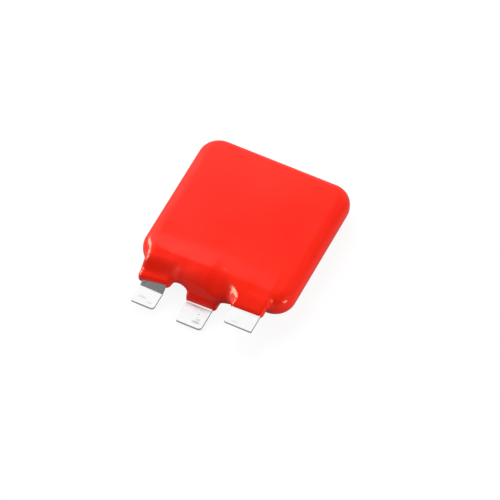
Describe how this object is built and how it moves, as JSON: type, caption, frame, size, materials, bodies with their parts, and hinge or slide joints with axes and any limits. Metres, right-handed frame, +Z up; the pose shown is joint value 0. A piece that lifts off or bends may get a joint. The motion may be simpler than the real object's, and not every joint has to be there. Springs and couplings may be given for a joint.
{
  "type": "varistor",
  "caption": "Square metal-oxide surge varistor, ceramic blocks between flat terminals in a glossy red epoxy coat, with flat tinned solder tabs along one edge.",
  "frame": {"origin": "the middle of the coated body's flat underside, on the surface that the part lies on", "axes": "+Z up through the flat body, -Y towards the solder tabs, +X to the right seen from the tabs' side with the tabs towards the viewer"},
  "size_m": [0.037, 0.0472, 0.0074],
  "materials": {
    "epoxy": "glossy dip-coated vermilion red epoxy, slightly uneven",
    "tinned_copper": "satin bright tin over copper sheet",
    "solder": "dull grey solder",
    "silver": "matt fired silver film",
    "zinc_oxide": "matt dark grey-green sintered zinc oxide"
  },
  "bodies": {
    "root": {"epoxy_coating": "epoxy", "bottom_terminal": "tinned_copper", "bottom_solder": "solder", "lower_block_bottom_silver": "silver", "lower_ceramic_block": "zinc_oxide", "lower_block_top_silver": "silver", "centre_lower_solder": "solder", "centre_terminal": "tinned_copper", "centre_upper_solder": "solder", "upper_block_bottom_silver": "silver", "upper_ceramic_block": "zinc_oxide", "upper_block_top_silver": "silver", "top_solder": "solder", "top_terminal": "tinned_copper"}
  },
  "joints": []
}
